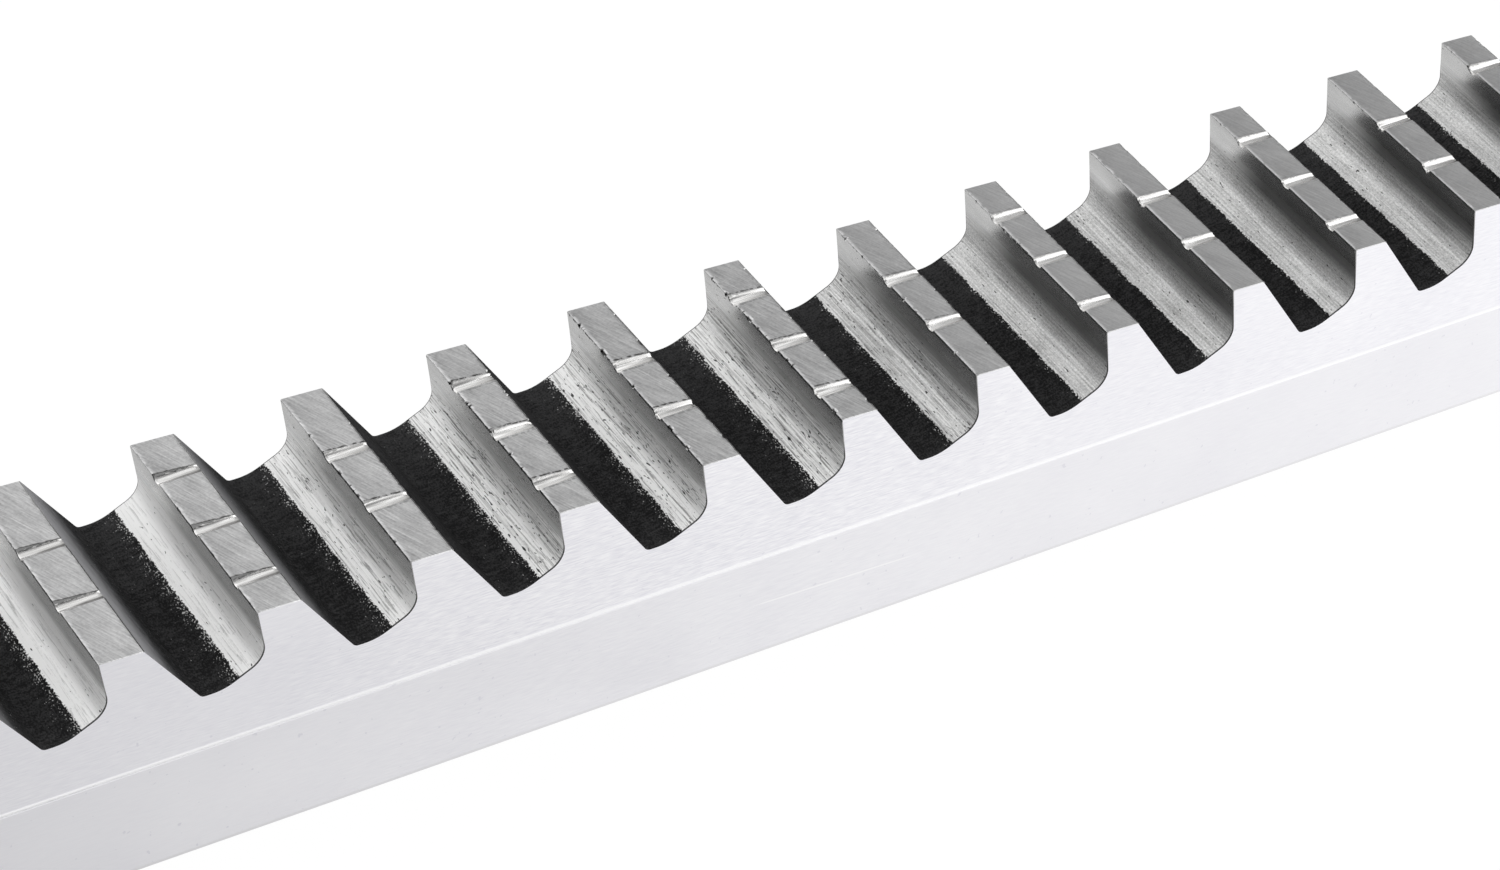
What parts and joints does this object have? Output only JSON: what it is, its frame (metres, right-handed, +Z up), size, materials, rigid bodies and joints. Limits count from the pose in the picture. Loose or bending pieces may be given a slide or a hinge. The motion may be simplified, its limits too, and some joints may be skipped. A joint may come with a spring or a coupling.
{
  "type": "keyway broach",
  "caption": "Solid push broach: a ledged guide bar with a ladder of rising, notched teeth that cuts a keyway along a bore.",
  "frame": {"origin": "middle of the bar's flat back, on the surface that it lies on", "axes": "+X along the bar from the pilot end to the push end, +Y across the keyway, +Z up from the back to the teeth; the broach cuts moving towards -X"},
  "size_m": [0.3524, 0.0142, 0.0159],
  "materials": {
    "tool_steel": "hardened high-speed steel, ground on its sides, lands and tooth faces, with black heat-treatment scale left on the gullet floors and tooth backs"
  },
  "bodies": {
    "root": {"keyway_broach": "tool_steel"}
  },
  "joints": []
}
